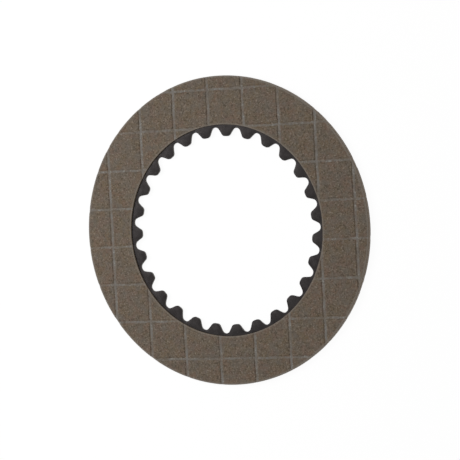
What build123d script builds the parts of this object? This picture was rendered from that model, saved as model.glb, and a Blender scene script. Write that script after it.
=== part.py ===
from build123d import *

import math
import os

# Friction disc of a wet multi-plate clutch. A stamped steel core plate takes the drive
# through an internal involute spline. A ring of friction paper is bonded to each side
# of it, flush with the rim, and a square grid of oil grooves is pressed into each ring.
#
# Frame: Z is the spline's axis and Z = 0 the core plate's middle plane. A tooth space
# is centred on +X, and the grooves run along X and Y. Lengths are in millimetres and
# angles in degrees.

# Disc
outer_diameter = 127.0
core_thickness = 1.0
facing_thickness = 0.7
bare_rim = 1.13  # core plate left bare between the tooth roots and the facing

# Internal spline
tooth_count = 27
module = 3.0
pressure_angle = 30.0
tip_height = 1.83  # from the pitch circle in to the tooth tips
root_depth = 1.87  # from the pitch circle out to the tooth roots
space_width = 4.4  # of one tooth space, along the pitch circle
root_rounding = 1.75
tip_rounding = 1.7
corner_share = 0.9  # of the land beside it, the most that a rounded corner takes up

# Oil grooves
groove_pitch = 15.8
groove_width = 1.8  # across the mouth
groove_depth = 0.25
groove_wall_angle = 50.0  # between a groove's wall and the wearing face
groove_line_x = -4.9  # where one groove along Y lies, with the others in step
groove_line_y = -5.2  # where one groove along X lies

# Sizes that follow
outer_radius = outer_diameter / 2
pitch_radius = module * tooth_count / 2
base_radius = pitch_radius * math.cos(math.radians(pressure_angle))
tip_radius = pitch_radius - tip_height
root_radius = pitch_radius + root_depth
facing_inner_radius = root_radius + bare_rim
tooth_pitch = 360 / tooth_count


def flank_angle(radius):
    """Angle between a tooth flank and the radius through it, in radians."""
    return math.acos(base_radius / radius)


def involute(angle):
    return math.tan(angle) - angle


def space_half_angle(radius):
    """Half the angle that a tooth space spans at this radius, in degrees."""
    narrowing = involute(flank_angle(radius)) - involute(math.radians(pressure_angle))
    return math.degrees(space_width / 2 / pitch_radius - narrowing)


def at(radius, angle):
    """Point at this radius and this angle from +X."""
    return Vector(radius, 0, 0).rotate(Axis.Z, angle)


def flank(side):
    """Involute flank of the tooth space on +X, as the arc through three of its points."""
    radii = (tip_radius, (tip_radius + root_radius) / 2, root_radius)
    return ThreePointArc(*[at(r, side * space_half_angle(r)) for r in radii])


def land(radius, start, end):
    """Arc about the axis, from one angle to another."""
    return ThreePointArc(*[at(radius, a) for a in (start, (start + end) / 2, end)])


def rounding_with_room(rounding, radius, half_land):
    """The rounding of corners on one circle, as far as the land there has room.

    half_land is half the angle of the land between two corners.
    """
    turn = math.pi / 2 - flank_angle(radius)
    room = corner_share * radius * math.radians(half_land) / math.tan(turn / 2)
    return min(rounding, room)


def corners(outline, place):
    """Corners of an outline nearest the axis, at place 0, or farthest from it, at -1."""
    return outline.vertices().group_by(SortBy.DISTANCE)[place]


def spline_bore():
    """Face that fills the toothed bore, with rounded roots and rounded tooth tips."""
    root_half = space_half_angle(root_radius)
    tip_half = space_half_angle(tip_radius)
    tip_land_half = tooth_pitch / 2 - tip_half
    one_pitch = [
        flank(-1),
        land(root_radius, -root_half, root_half),
        flank(1),
        land(tip_radius, tip_half, tooth_pitch - tip_half),
    ]
    turns = [Rot(0, 0, step * tooth_pitch) for step in range(tooth_count)]
    bore = make_face([turn * edge for turn in turns for edge in one_pitch])
    at_roots = rounding_with_room(root_rounding, root_radius, root_half)
    at_tips = rounding_with_room(tip_rounding, tip_radius, tip_land_half)
    bore = fillet(corners(bore, -1), at_roots)
    return fillet(corners(bore, 0), at_tips)


def core_plate():
    """Flat steel plate, blanked to a plain rim and a toothed bore."""
    blank = Circle(outer_radius) - spline_bore()
    return Pos(0, 0, -core_thickness / 2) * extrude(blank, core_thickness)


def groove_bar():
    """Bar along Y that takes one groove out of a face at Z = 0 and stands out above it."""
    spread = groove_depth / math.tan(math.radians(groove_wall_angle))
    half_mouth = groove_width / 2
    section = Polyline(
        (-half_mouth + spread, -groove_depth),
        (half_mouth - spread, -groove_depth),
        (half_mouth + spread, groove_depth),
        (-half_mouth - spread, groove_depth),
        close=True,
    )
    return extrude(Plane.XZ * make_face(section), outer_diameter, both=True)


def groove_lines(first):
    """Where grooves cross the disc, in step with the first and clear of the rim."""
    reach = outer_radius - groove_width
    steps = math.ceil(outer_diameter / groove_pitch)
    lines = [first + groove_pitch * step for step in range(-steps, steps + 1)]
    return [line for line in lines if abs(line) < reach]


def groove_grid():
    """Bars of both sets of grooves, crossing at right angles."""
    bar = groove_bar()
    along_y = [Pos(x, 0, 0) * bar for x in groove_lines(groove_line_x)]
    along_x = [Pos(0, y, 0) * Rot(0, 0, 90) * bar for y in groove_lines(groove_line_y)]
    return along_y + along_x


def upper_facing():
    """Ring of friction paper on the core plate's upper side, with its grooves."""
    ring = Circle(outer_radius) - Circle(facing_inner_radius)
    seat = core_thickness / 2
    wearing_face = seat + facing_thickness
    facing = Pos(0, 0, seat) * extrude(ring, facing_thickness)
    return facing - [Pos(0, 0, wearing_face) * bar for bar in groove_grid()]


def lower_facing():
    """The same ring on the lower side, facing down."""
    return mirror(upper_facing(), about=Plane.XY)


os.makedirs("parts", exist_ok=True)
export_step(core_plate(), "parts/core_plate.step")
export_step(upper_facing(), "parts/upper_facing.step")
export_step(lower_facing(), "parts/lower_facing.step")
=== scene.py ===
import math

import bpy
import numpy as np
from mathutils import Matrix, Vector, geometry, noise


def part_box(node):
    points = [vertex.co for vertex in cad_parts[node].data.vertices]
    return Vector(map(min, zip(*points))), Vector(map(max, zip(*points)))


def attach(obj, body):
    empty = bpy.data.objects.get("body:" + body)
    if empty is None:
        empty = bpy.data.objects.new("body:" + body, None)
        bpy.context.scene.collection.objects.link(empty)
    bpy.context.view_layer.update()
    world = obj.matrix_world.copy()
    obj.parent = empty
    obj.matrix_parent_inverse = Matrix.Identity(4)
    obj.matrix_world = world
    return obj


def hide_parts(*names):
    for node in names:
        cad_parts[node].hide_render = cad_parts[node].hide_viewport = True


# A clutch friction disc lying flat: a stamped steel core plate with an internal spline,
# and a grooved ring of friction paper bonded to each side. Lengths are in metres.

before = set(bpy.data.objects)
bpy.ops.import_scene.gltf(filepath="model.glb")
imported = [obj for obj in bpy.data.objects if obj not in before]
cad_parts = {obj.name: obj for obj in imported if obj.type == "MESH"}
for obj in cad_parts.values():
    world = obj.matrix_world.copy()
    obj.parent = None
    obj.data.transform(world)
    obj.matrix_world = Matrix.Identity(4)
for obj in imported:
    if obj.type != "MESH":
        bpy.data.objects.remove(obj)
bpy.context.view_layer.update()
MM = 0.001
BODY = "root"


# ---------------------------------------------------------------- sizes

def mesh_radii(node):
    """Smallest and largest distance from the Z axis of a CAD node's vertices."""
    radii = [math.hypot(v.co.x, v.co.y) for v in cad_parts[node].data.vertices]
    return min(radii), max(radii)


# From the frame
tip_radius, rim_radius = mesh_radii("core_plate")
facing_inner_radius = mesh_radii("upper_facing")[0]
core_bottom, core_top = (corner.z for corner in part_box("core_plate"))
disc_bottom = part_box("lower_facing")[0].z
disc_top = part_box("upper_facing")[1].z

# Tooth form and groove grid, as in the disc's own design
tooth_count = 27
module = 3.0 * MM
pressure_angle = math.radians(30)
root_depth = 1.87 * MM  # from the pitch circle out to the tooth roots
space_width = 4.4 * MM  # of one tooth space, along the pitch circle
root_rounding = 1.75 * MM
tip_rounding = 1.7 * MM
groove_pitch = 15.8 * MM
groove_width = 1.8 * MM
groove_depth = 0.25 * MM
groove_first_x = -4.9 * MM
groove_first_y = -5.2 * MM

pitch_radius = module * tooth_count / 2
base_radius = pitch_radius * math.cos(pressure_angle)
root_radius = pitch_radius + root_depth

# Finish that the design leaves out
steel_edge_rounding = 0.06 * MM
paper_outer_rounding = 0.16 * MM
paper_inner_rounding = 0.08 * MM
paper_inset = 0.02 * MM  # of the paper's outer edge from the steel rim
wall_inset = 0.21 * MM  # from a groove's designed mouth in to where its floor starts
lip_spread = 0.07 * MM  # from a groove's designed mouth out to where its lip ends
along_x_depth_and_shade_share = 0.75  # the grooves along X are less deep than those along Y, and their floors are painted less pale, a painted shade for the side light
deepest_share = 0.94  # of the designed depth, in a groove's deepest stretches
filled_share = 0.35  # of the designed depth, lost besides in its shallowest stretches
filled_size = 2.6 * MM  # of the stretches where a groove is shallower
filled_contrast = 1.6
face_waviness = 0.012 * MM
face_wave_size = 3.1 * MM

# Mesh density
curve_steps = 9  # along each flank and each rounding of a tooth
land_steps = 3  # along half of each root land and tip land
edge_steps = 4  # round each edge of the steel
rounding_shares = (0, 0.22, 0.56, 1)  # of the rounding of a paper edge, at its points
wall_shares = (0.66, 0.33, 0)  # of the height of a paper edge, at its points
rim_step = 0.32 * MM
pad_step = 0.7 * MM
grid_clearance = 0.28 * MM  # from the paper's edges to the points of its grid

near = 1e-6  # points nearer than this lie in the same place
merge_distance = 1e-9


# ---------------------------------------------------------------- meshes

def new_piece(name, points, faces, material, replaced):
    """A smooth-shaded mesh that rides on the disc and stands for one CAD node."""
    mesh = bpy.data.meshes.new(name)
    mesh.from_pydata([tuple(p) for p in points], [], faces)
    mesh.validate()
    mesh.shade_smooth()
    piece = bpy.data.objects.new(name, mesh)
    bpy.context.scene.collection.objects.link(piece)
    mesh.materials.append(material)
    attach(piece, BODY)
    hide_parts(replaced)
    return piece


def add_attribute(piece, name, values):
    """Gives each point of a piece a value that a material reads by this name."""
    attribute = piece.data.attributes.new(name, "FLOAT", "POINT")
    attribute.data.foreach_set("value", np.asarray(values, np.float32))


def polar(radius, angle):
    return np.array([radius * math.cos(angle), radius * math.sin(angle)])


def loop_edges(start, count):
    """Edges of a closed loop of points that are numbered in a row from start."""
    return [(start + k, start + (k + 1) % count) for k in range(count)]


def quads_between(first, second):
    """Faces that join two closed loops with the same number of points."""
    corners = zip(first, second, np.roll(second, -1), np.roll(first, -1))
    return [tuple(int(v) for v in quad) for quad in corners]


# ---------------------------------------------------------------- core plate

def involute(angle):
    return math.tan(angle) - angle


def space_half_angle(radius):
    """Half the angle that a tooth space spans at this radius, in radians."""
    narrowing = involute(math.acos(base_radius / radius)) - involute(pressure_angle)
    return space_width / 2 / pitch_radius - narrowing


def arc(centre, start, end):
    """Points of the shorter arc about a centre, both ends included."""
    first = math.atan2(*(start - centre)[::-1])
    turn = math.atan2(*(end - centre)[::-1]) - first
    turn = (turn + math.pi) % (2 * math.pi) - math.pi
    radius = np.linalg.norm(start - centre)
    angles = np.linspace(first, first + turn, curve_steps + 1)
    return [centre + polar(radius, angle) for angle in angles]


def land(radius, start, end):
    """Points along a circle about the axis, both ends included."""
    return [polar(radius, angle) for angle in np.linspace(start, end, land_steps + 1)]


def half_space_outline():
    """Bore outline from the middle of a tooth space to the middle of the next tooth.

    A curve parallel to an involute is the same involute turned about the axis, so the
    centre of a rounding that touches a flank lies on the flank turned by its radius.
    """
    root_centre_radius = root_radius - root_rounding
    tip_centre_radius = tip_radius + tip_rounding
    root_turn = space_half_angle(root_centre_radius) - root_rounding / base_radius
    tip_turn = space_half_angle(tip_centre_radius) + tip_rounding / base_radius
    root_roll = math.sqrt(root_centre_radius**2 - base_radius**2) + root_rounding
    tip_roll = math.sqrt(tip_centre_radius**2 - base_radius**2) - tip_rounding
    flank_outer = math.hypot(base_radius, root_roll)
    flank_inner = math.hypot(base_radius, tip_roll)
    flank_radii = np.linspace(flank_outer, flank_inner, curve_steps)

    flank = [polar(radius, space_half_angle(radius)) for radius in flank_radii]
    root_land = land(root_radius, 0, root_turn)
    tip_land = land(tip_radius, tip_turn, math.pi / tooth_count)
    root_arc = arc(polar(root_centre_radius, root_turn), root_land[-1], flank[0])
    tip_arc = arc(polar(tip_centre_radius, tip_turn), flank[-1], tip_land[0])
    return root_land[:-1] + root_arc + flank[1:-1] + tip_arc + tip_land[1:]


def bore_outline():
    """Closed outline of the toothed bore, anticlockwise."""
    half = half_space_outline()
    other_half = [point * (1, -1) for point in half[-2:0:-1]]
    one_pitch = np.array(other_half + half)
    pitches = []
    for tooth in range(tooth_count):
        turn = 2 * math.pi * tooth / tooth_count
        cos, sin = math.cos(turn), math.sin(turn)
        pitches.append(one_pitch @ np.array([[cos, sin], [-sin, cos]]))
    return np.concatenate(pitches)


def outline_normals(points):
    """Unit normals of a closed anticlockwise outline, pointing away from what it holds."""
    along = np.roll(points, -1, axis=0) - np.roll(points, 1, axis=0)
    normals = np.stack([along[:, 1], -along[:, 0]], axis=1)
    return normals / np.linalg.norm(normals, axis=1)[:, None]


def edge_section(radius, low, high):
    """(inset, height) from the lower face to the upper one, with both edges rounded."""
    angles = np.linspace(0, math.pi / 2, edge_steps + 1)
    insets = radius * (1 - np.sin(angles))
    rises = radius * (1 - np.cos(angles))
    lower = [(inset, low + rise) for inset, rise in zip(insets, rises)]
    upper = [(inset, high - rise) for inset, rise in zip(insets, rises)]
    return lower + upper[::-1]


def core_plate(material):
    """Blanked steel plate: rounded edges round the teeth and the rim, flat faces."""
    bore = bore_outline()
    into_steel = outline_normals(bore)
    outward = bore / np.linalg.norm(bore, axis=1)[:, None]
    section = edge_section(steel_edge_rounding, core_bottom, core_top)
    rim_band = 2 * MM  # between the rim and the nearest points on the flat faces
    face_radii = (facing_inner_radius, rim_radius - rim_band)

    rows = [(bore + into_steel * inset, z) for inset, z in section]
    rows += [(outward * radius, core_top) for radius in face_radii]
    rows += [(outward * (rim_radius - inset), z) for inset, z in section[::-1]]
    rows += [(outward * radius, core_bottom) for radius in face_radii[::-1]]
    points = [(x, y, z) for flat, z in rows for x, y in flat]
    loops = np.arange(len(points)).reshape(len(rows), -1)
    faces = []
    for loop, next_loop in zip(loops, np.roll(loops, -1, axis=0)):
        faces += quads_between(loop, next_loop)
    piece = new_piece("steel_core", points, faces, material, "core_plate")

    middle = (core_bottom + core_top) / 2
    straight_half = (core_top - core_bottom) / 2 - steel_edge_rounding
    sheared = [abs(z - middle) < straight_half + near for _, _, z in points]
    add_attribute(piece, "sheared", sheared)


# ---------------------------------------------------------------- paper facings

def groove_lines(first):
    """Places of the grooves that run in one direction, clear of the rim."""
    reach = rim_radius - groove_width
    steps = math.ceil(2 * rim_radius / groove_pitch)
    lines = [first + groove_pitch * k for k in range(-steps, steps + 1)]
    return [line for line in lines if abs(line) < reach]


groove_xs = groove_lines(groove_first_x)
groove_ys = groove_lines(groove_first_y)


def mesh_lines(lines):
    """Mesh lines across the disc: close together at groove walls, even on the pads."""
    half_width_shares = np.array([0.35, 0.7, 0.78, 0.86, 0.94, 1.02, 1.1, 1.3])
    outward = half_width_shares * groove_width / 2
    across = np.concatenate([-outward[::-1], [0], outward])
    found = [line + across for line in lines]
    pad_starts = [-rim_radius] + [line + across[-1] for line in lines]
    pad_ends = [line + across[0] for line in lines] + [rim_radius]
    for start, end in zip(pad_starts, pad_ends):
        count = max(2, round((end - start) / pad_step))
        found.append(np.linspace(start, end, count + 1)[1:-1])
    return np.sort(np.concatenate(found))


def smooth(t):
    """0 up to 0, 1 from 1 on, and an S-shaped rise in between."""
    t = np.clip(t, 0, 1)
    return t * t * (3 - 2 * t)


def from_groove(values, lines):
    """Distance of each value from the nearest groove's middle line."""
    return np.min([np.abs(values - line) for line in lines], axis=0)


def pressed(off):
    """How far down the paper is pressed, from 0 on a pad to 1 on a groove's floor."""
    floor_half = groove_width / 2 - wall_inset
    mouth_half = groove_width / 2 + lip_spread
    return 1 - smooth((off - floor_half) / (mouth_half - floor_half))


def pale_share(off):
    """How pale the paper is, from 1 along a groove's middle to 0 at its walls."""
    pale_half = 0.25 * MM
    fading = 0.6 * MM
    return 1 - smooth((off - pale_half) / fading)


def bumps(points, seed, size):
    """Smooth random value, from about -1 to 1, at each point in the plane."""
    return np.array([noise.noise(Vector((x / size, y / size, seed))) for x, y in points])


def wander(points, seed, size, amount):
    """Smooth random shift of points in the plane."""
    other_seed = seed + 57.3
    shift = [bumps(points, seed, size), bumps(points, other_seed, size)]
    return np.stack(shift, axis=1) * amount


def ring_points(radius):
    """Even points round a circle, anticlockwise."""
    count = round(2 * math.pi * radius / rim_step)
    angles = np.arange(count) * 2 * math.pi / count
    return np.stack([radius * np.cos(angles), radius * np.sin(angles)], axis=1)


def flat_facing(outer, inner):
    """Points and triangles of a flat ring, with mesh lines along all its grooves."""
    grid = np.meshgrid(mesh_lines(groove_xs), mesh_lines(groove_ys))
    grid = np.stack(grid, axis=-1).reshape(-1, 2)
    distance = np.hypot(grid[:, 0], grid[:, 1])
    inside = (distance > inner + grid_clearance) & (distance < outer - grid_clearance)
    rings = [ring_points(outer - share * paper_outer_rounding) for share in rounding_shares]
    rings += [ring_points(inner + share * paper_inner_rounding) for share in rounding_shares]
    points = np.concatenate(rings + [grid[inside]])

    edges = []
    start = 0
    for ring in rings:
        edges += loop_edges(start, len(ring))
        start += len(ring)
    flat = [Vector(point) for point in points]
    found = geometry.delaunay_2d_cdt(flat, edges, [], 0, merge_distance)
    points = np.array([tuple(point) for point in found[0]])
    distance = np.hypot(points[:, 0], points[:, 1])
    faces = [face for face in found[2] if any(distance[v] > inner + near for v in face)]
    return points, faces


def facing(name, material, side, seed, replaced):
    """Ring of friction paper. side is 1 on the upper side of the core and -1 below it."""
    outer = rim_radius - paper_inset
    inner = facing_inner_radius
    thickness = disc_top - core_top
    flat, faces = flat_facing(outer, inner)

    distance = np.hypot(flat[:, 0], flat[:, 1])
    rim_gap = np.minimum(outer - distance, distance - inner)
    nearer_outer = outer - distance < distance - inner
    rounding = np.where(nearer_outer, paper_outer_rounding, paper_inner_rounding)
    over_edge = np.clip(1 - rim_gap / rounding, 0, 1)
    rounded = rounding * (1 - np.sqrt(1 - over_edge**2))

    across_x = from_groove(flat[:, 0], groove_xs)
    across_y = from_groove(flat[:, 1], groove_ys)
    down = np.maximum(pressed(across_x), along_x_depth_and_shade_share * pressed(across_y))
    # Painted shade: the grooves along X take a smaller share of the pale colour, for the duller
    # look that the side light gives their floors
    pale = np.maximum(pale_share(across_x), along_x_depth_and_shade_share * pale_share(across_y))
    filled = filled_share * smooth(bumps(flat, seed + 3, filled_size) * filled_contrast)
    height = thickness - down * groove_depth * (deepest_share - filled) - rounded

    off_rim = smooth(rim_gap / MM)
    height -= face_waviness * (1 + bumps(flat, seed, face_wave_size)) * off_rim
    long_waves = wander(flat, seed + 11, size=6 * MM, amount=0.2 * MM)
    short_waves = wander(flat, seed + 17, size=1.9 * MM, amount=0.1 * MM)
    flat = flat + (long_waves + short_waves) * off_rim[:, None]
    top = np.column_stack([flat, height])

    points, faces, pale = close_ring(top, faces, pale, outer, inner)
    points[:, 2] = side * (core_top + points[:, 2])
    if side < 0:
        faces = [face[::-1] for face in faces]
    piece = new_piece(name, points, faces, material, replaced)
    add_attribute(piece, "pale", pale)


def close_ring(top, faces, pale, outer, inner):
    """Adds the ring's walls and its flat underside, at height 0, to its top."""
    distance = np.hypot(top[:, 0], top[:, 1])
    points = [top]
    shades = [pale]
    faces = list(faces)
    count = len(top)
    bases = []
    for radius, outward in ((outer, True), (inner, False)):
        loop = np.nonzero(np.abs(distance - radius) < near)[0]
        loop = loop[np.argsort(np.arctan2(top[loop, 1], top[loop, 0]))]
        rows = [loop]
        for share in wall_shares:
            points.append(top[loop] * (1, 1, share))
            shades.append(pale[loop] * share)
            rows.append(np.arange(count, count + len(loop)))
            count += len(loop)
        for upper, lower in zip(rows, rows[1:]):
            wall = quads_between(upper, lower)
            faces += wall if outward else [quad[::-1] for quad in wall]
        bases.append(rows[-1])
    points = np.concatenate(points)
    faces += flat_ring(points, *bases)
    return points, faces, np.concatenate(shades)


def flat_ring(points, outer_loop, inner_loop):
    """Triangles between two loops in one plane, facing down."""
    loop_points = np.concatenate([outer_loop, inner_loop])
    split = len(outer_loop)
    edges = loop_edges(0, split) + loop_edges(split, len(inner_loop))
    flat = [Vector(points[v][:2]) for v in loop_points]
    found = geometry.delaunay_2d_cdt(flat, edges, [], 0, merge_distance)
    # A triangle with no point on the outer loop fills the hole
    kept = [face for face in found[2] if min(face) < split]
    return [tuple(int(loop_points[v]) for v in face[::-1]) for face in kept]


# ---------------------------------------------------------------- materials

def srgb(red, green, blue):
    """Linear colour from 0-255 screen values."""
    def linear(value):
        value /= 255
        return value / 12.92 if value <= 0.04045 else ((value + 0.055) / 1.055) ** 2.4
    return (linear(red), linear(green), linear(blue), 1)


def seen_directly(tree):
    """1 for what the camera sees, also in gloss or through glass, and 0 for other light."""
    path = tree.nodes.new("ShaderNodeLightPath")
    seen = path.outputs["Is Camera Ray"]
    for kind in ("Is Glossy Ray", "Is Transmission Ray"):
        either = tree.nodes.new("ShaderNodeMath")
        either.operation = "MAXIMUM"
        tree.links.new(seen, either.inputs[0])
        tree.links.new(path.outputs[kind], either.inputs[1])
        seen = either.outputs[0]
    return seen


class Shader:
    """A material's node tree, with short calls for the nodes used here.

    Sizes and distances are in millimetres, except for the depth of a bump.
    """

    def __init__(self, name):
        self.material = bpy.data.materials.new(name)
        self.material.use_nodes = True
        self.tree = self.material.node_tree
        self.surface = self.tree.nodes["Principled BSDF"]
        coordinates = self.add("ShaderNodeTexCoord")
        scale = self.add("ShaderNodeVectorMath", operation="SCALE")
        scale.inputs["Scale"].default_value = 1 / MM
        self.link(coordinates.outputs["Object"], scale.inputs[0])
        self.millimetres = scale.outputs[0]

    def add(self, kind, **settings):
        node = self.tree.nodes.new(kind)
        for name, value in settings.items():
            setattr(node, name, value)
        return node

    def link(self, output, socket):
        self.tree.links.new(output, socket)

    def feed(self, socket, value):
        if isinstance(value, bpy.types.NodeSocket):
            self.link(value, socket)
        else:
            socket.default_value = value

    def attribute(self, name):
        return self.add("ShaderNodeAttribute", attribute_name=name).outputs["Fac"]

    def stretched(self, angle, along, across):
        """Coordinates turned by an angle in degrees, and scaled along it and across it."""
        mapping = self.add("ShaderNodeMapping")
        mapping.inputs["Rotation"].default_value = (0, 0, math.radians(angle))
        mapping.inputs["Scale"].default_value = (along, across, 1)
        self.link(self.millimetres, mapping.inputs["Vector"])
        return mapping.outputs[0]

    def noise(self, size, offset, detail=2.0, rough=0.5, warp=0.0, vector=None):
        """Noise from 0 to 1 with features of about this size. Each offset is another."""
        node = self.add("ShaderNodeTexNoise", noise_dimensions="4D")
        self.link(vector or self.millimetres, node.inputs["Vector"])
        node.inputs["W"].default_value = offset
        node.inputs["Scale"].default_value = 1 / size
        node.inputs["Detail"].default_value = detail
        node.inputs["Roughness"].default_value = rough
        node.inputs["Distortion"].default_value = warp
        return node.outputs["Fac"]

    def between(self, value, low, high, new_low=0.0, new_high=1.0):
        """Value stretched from one range to another, and kept inside it."""
        node = self.add("ShaderNodeMapRange", interpolation_type="SMOOTHSTEP")
        self.feed(node.inputs["Value"], value)
        node.inputs["From Min"].default_value = low
        node.inputs["From Max"].default_value = high
        node.inputs["To Min"].default_value = new_low
        node.inputs["To Max"].default_value = new_high
        return node.outputs["Result"]

    def patches(self, size, low, high, offset, **look):
        """0 where the noise is below low, 1 where it is above high."""
        return self.between(self.noise(size, offset, **look), low, high)

    def math(self, operation, a, b=0.0):
        node = self.add("ShaderNodeMath", operation=operation)
        self.feed(node.inputs[0], a)
        self.feed(node.inputs[1], b)
        return node.outputs[0]

    def mix(self, share, first, second):
        node = self.add("ShaderNodeMix", data_type="RGBA")
        self.feed(node.inputs["Factor"], share)
        self.feed(node.inputs["A"], first)
        self.feed(node.inputs["B"], second)
        return node.outputs["Result"]

    def tint(self, colour, mask, share, other):
        """Colour that takes up this share of another one where the mask is 1."""
        return self.mix(self.math("MULTIPLY", mask, share), colour, other)

    def axis_distance(self):
        """Distance from the Z axis."""
        parts = self.add("ShaderNodeSeparateXYZ")
        self.link(self.millimetres, parts.inputs[0])
        squares = [self.math("MULTIPLY", parts.outputs[k], parts.outputs[k]) for k in (0, 1)]
        return self.math("SQRT", self.math("ADD", *squares))

    def bump(self, height, depth, strength):
        node = self.add("ShaderNodeBump")
        node.inputs["Strength"].default_value = strength
        node.inputs["Distance"].default_value = depth
        self.link(height, node.inputs["Height"])
        self.link(node.outputs["Normal"], self.surface.inputs["Normal"])


def paper_ground(paper):
    """Mottled brown-grey of the paper, under its fibres and flecks."""
    tone = paper.patches(size=4.5, low=0.32, high=0.68, offset=1.0, detail=3.0, rough=0.6)
    colour = paper.mix(tone, srgb(97, 89, 80), srgb(104, 89, 71))
    blush = paper.patches(size=3.0, low=0.42, high=0.62, offset=5.0, detail=1.0)
    colour = paper.tint(colour, blush, 0.45, srgb(111, 88, 77))
    olive = paper.patches(size=2.5, low=0.48, high=0.66, offset=9.0, detail=1.0)
    return paper.tint(colour, olive, 0.4, srgb(100, 89, 70))


def paper_fibres(paper):
    """1 on the paper's short fibres, which lie in four directions."""
    fibres = None
    for number, angle in enumerate((12, 58, 101, 149)):
        lying = paper.stretched(angle, 0.2, 1.0)
        look = {"detail": 1.0, "warp": 0.4, "vector": lying}
        streak = paper.patches(size=0.22, low=0.58, high=0.72, offset=3.0 + number, **look)
        fibres = streak if fibres is None else paper.math("MAXIMUM", fibres, streak)
    return fibres


def with_flecks(paper, colour):
    """The paper's colour with dark flecks, tan flecks and greyer patches."""
    fleck = {"rough": 0.7, "warp": 0.3}
    dark = paper.patches(size=0.67, low=0.5, high=0.62, offset=11.0, **fleck)
    colour = paper.tint(colour, dark, 0.75, srgb(69, 60, 49))
    tan = paper.patches(size=0.65, low=0.54, high=0.66, offset=17.0, **fleck)
    colour = paper.tint(colour, tan, 0.75, srgb(138, 126, 113))
    grey = paper.patches(size=2.0, low=0.48, high=0.66, offset=23.0, detail=1.0)
    return paper.tint(colour, grey, 0.4, srgb(102, 96, 88))


def with_pale_grooves(paper, colour):
    """The paper's colour with specked groove floors, frayed and fading in places."""
    floor = paper.mix(paper.noise(size=2.2, offset=37.0), srgb(118, 112, 105), srgb(115, 112, 108))
    specks = paper.patches(size=0.6, low=0.55, high=0.68, offset=35.0, detail=1.0, rough=0.6)
    floor = paper.tint(floor, specks, 0.7, srgb(154, 152, 146))
    fray = paper.math("SUBTRACT", paper.noise(size=0.8, offset=33.0, rough=0.7), 0.5)
    fray = paper.math("MULTIPLY", fray, 1.6)
    pale = paper.between(paper.math("ADD", paper.attribute("pale"), fray), 0.3, 0.9)
    fading = paper.noise(size=4.0, offset=31.0, detail=3.0, rough=0.65)
    fading = paper.between(fading, 0.4, 0.62, new_low=0.4)
    return paper.mix(paper.math("MULTIPLY", pale, fading), colour, floor)


def with_edges(paper, colour):
    """The paper's colour with a paler band along both edges, and with both cut edges."""
    distance = paper.axis_distance()
    rim = rim_radius / MM
    bore = facing_inner_radius / MM
    by_rim = paper.between(distance, rim - 0.9, rim - 0.25)
    by_bore = paper.between(distance, bore + 0.25, bore + 0.8, new_low=1.0, new_high=0.0)
    bands = paper.math("MAXIMUM", by_rim, paper.math("MULTIPLY", by_bore, 0.8))
    colour = paper.tint(colour, bands, 0.65, srgb(128, 121, 113))
    rim_cut = paper.between(distance, rim - 0.14, rim - 0.06)
    colour = paper.mix(rim_cut, colour, srgb(130, 117, 102))
    bore_cut = paper.between(distance, bore + 0.03, bore + 0.1, new_low=1.0, new_high=0.0)
    return paper.mix(bore_cut, colour, srgb(122, 108, 92))


def friction_paper():
    """Resin-bonded fibre paper: brown-grey, mottled, flecked, paler where pressed."""
    paper = Shader("friction_paper")
    fibres = paper_fibres(paper)
    colour = paper.tint(paper_ground(paper), fibres, 0.5, srgb(126, 115, 101))
    colour = with_flecks(paper, colour)
    colour = with_pale_grooves(paper, colour)
    colour = with_edges(paper, colour)
    paper.link(colour, paper.surface.inputs["Base Color"])
    rough = paper.noise(size=0.9, offset=41.0, detail=3.0, rough=0.6)
    rough = paper.between(rough, 0.3, 0.7, new_low=0.72, new_high=0.92)
    paper.link(rough, paper.surface.inputs["Roughness"])
    paper.surface.inputs["Specular IOR Level"].default_value = 0.2
    felt = paper.noise(size=0.35, offset=47.0, detail=4.0, rough=0.65)
    relief = paper.math("ADD", paper.math("MULTIPLY", fibres, 0.6), felt)
    paper.bump(relief, depth=0.05 * MM, strength=0.6)
    return paper.material


def core_steel():
    """Blanked steel, darkened by the bonding oven, with faint rolling marks."""
    steel = Shader("core_steel")
    cloudy = {"detail": 4.0, "rough": 0.62, "warp": 0.4}
    tone = steel.patches(size=2.4, low=0.3, high=0.7, offset=2.0, **cloudy)
    colour = steel.mix(tone, srgb(34, 31, 31), srgb(45, 42, 42))
    specks = steel.patches(size=0.5, low=0.6, high=0.72, offset=7.0, rough=0.6)
    colour = steel.tint(colour, specks, 0.5, srgb(66, 62, 62))
    sheared = steel.attribute("sheared")
    colour = steel.mix(sheared, colour, srgb(92, 88, 83))
    # Painted light: the steel's cut wall at the rim is painted paler and warmer than at the bore,
    # for the bright surroundings that it faces and reflects
    rim = rim_radius / MM
    rim_wall_painted_light = steel.between(steel.axis_distance(), rim - 1, rim - 0.5)
    colour = steel.tint(colour, sheared, rim_wall_painted_light, srgb(118, 104, 90))
    steel.link(colour, steel.surface.inputs["Base Color"])
    steel.surface.inputs["Metallic"].default_value = 0.45
    steel.surface.inputs["Specular IOR Level"].default_value = 0.1
    rough = steel.noise(size=1.2, offset=13.0, detail=3.0, rough=0.6)
    rough = steel.between(rough, 0.3, 0.7, new_low=0.3, new_high=0.44)
    steel.link(rough, steel.surface.inputs["Roughness"])
    marks = steel.noise(size=0.12, offset=19.0, rough=0.6, vector=steel.stretched(20, 0.03, 1.0))
    grain = steel.noise(size=0.2, offset=29.0, detail=3.0, rough=0.6)
    steel.bump(steel.math("ADD", marks, grain), depth=0.01 * MM, strength=0.5)
    return steel.material


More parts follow.
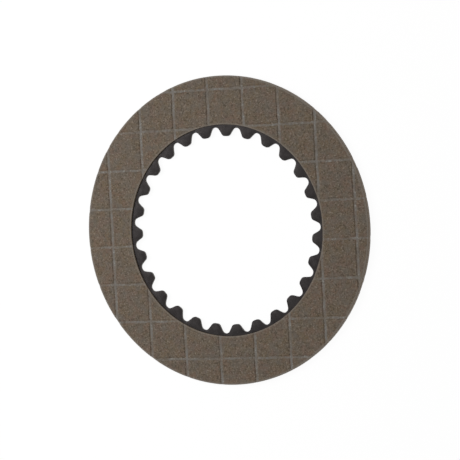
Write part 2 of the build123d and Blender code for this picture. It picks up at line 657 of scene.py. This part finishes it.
def pale_floor():
    """Matte white floor that is seen near white, with the disc's soft shadow on it."""
    glow_share = 0.93  # the rest of what is seen is the light that falls on the floor
    floor = Shader("pale_floor")
    floor.surface.inputs["Base Color"].default_value = (0.9, 0.9, 0.9, 1)
    floor.surface.inputs["Roughness"].default_value = 0.9
    floor.surface.inputs["Specular IOR Level"].default_value = 0.0
    glow = floor.add("ShaderNodeEmission")
    glow.inputs["Strength"].default_value = 1.02
    blend = floor.add("ShaderNodeMixShader")
    seen = seen_directly(floor.tree)
    floor.link(floor.math("MULTIPLY", seen, glow_share), blend.inputs[0])
    floor.link(floor.surface.outputs[0], blend.inputs[1])
    floor.link(glow.outputs[0], blend.inputs[2])
    floor.link(blend.outputs[0], floor.tree.nodes["Material Output"].inputs["Surface"])
    return floor.material


# ---------------------------------------------------------------- stage, light, camera

def make_floor():
    """Square floor that the disc lies on."""
    half = 3.0
    mesh = bpy.data.meshes.new("floor")
    corners = [(-half, -half), (half, -half), (half, half), (-half, half)]
    mesh.from_pydata([(x, y, disc_bottom) for x, y in corners], [], [(0, 1, 2, 3)])
    floor = bpy.data.objects.new("floor", mesh)
    bpy.context.scene.collection.objects.link(floor)
    mesh.materials.append(pale_floor())


def make_world(strength):
    """White surroundings that light the disc at this strength and are seen plain white."""
    world = bpy.data.worlds.new("studio")
    world.use_nodes = True
    tree = world.node_tree
    background = tree.nodes["Background"]
    background.inputs["Color"].default_value = (1, 1, 1, 1)
    level = tree.nodes.new("ShaderNodeMapRange")
    level.inputs["To Min"].default_value = strength
    level.inputs["To Max"].default_value = 1.0
    tree.links.new(seen_directly(tree), level.inputs["Value"])
    tree.links.new(level.outputs["Result"], background.inputs["Strength"])
    bpy.context.scene.world = world


def area_light(name, place, size, watts):
    """Square soft light that looks at the disc's centre."""
    light = bpy.data.lights.new(name, "AREA")
    light.size = size
    light.energy = watts
    lamp = bpy.data.objects.new(name, light)
    lamp.location = place
    lamp.rotation_mode = "QUATERNION"
    lamp.rotation_quaternion = Vector(place).to_track_quat("Z", "Y")
    bpy.context.scene.collection.objects.link(lamp)


def make_camera():
    """Camera at the photograph's viewing angle, with a long lens, about a metre away."""
    azimuth, elevation = math.radians(93.84), math.radians(64.45)
    distance = 1.0673
    aim = Vector((0.00168, 0.00010, 0))
    up_turn = math.radians(3.4)  # of the picture's upright, from +Y towards +X
    back = Vector((
        math.sin(azimuth) * math.cos(elevation),
        -math.cos(azimuth) * math.cos(elevation),
        math.sin(elevation),
    ))
    upright = Vector((math.sin(up_turn), math.cos(up_turn), 0))
    right = upright.cross(back).normalized()
    up = back.cross(right)
    turn = Matrix((right, up, back)).transposed().to_4x4()
    camera = bpy.data.objects.new("camera", bpy.data.cameras.new("camera"))
    camera.data.sensor_width = 36
    camera.data.lens = 203.7
    camera.matrix_world = Matrix.Translation(aim + back * distance) @ turn
    bpy.context.scene.collection.objects.link(camera)
    bpy.context.scene.camera = camera


# ---------------------------------------------------------------- the scene

paper_material = friction_paper()
core_plate(core_steel())
facing("paper_facing_upper", paper_material, side=1, seed=5.0, replaced="upper_facing")
facing("paper_facing_lower", paper_material, side=-1, seed=71.0, replaced="lower_facing")
make_floor()
make_world(strength=0.46)
area_light("key", place=(-0.28, 0.1, 0.315), size=0.25, watts=1.13)
make_camera()
bpy.context.scene.view_settings.view_transform = "Standard"
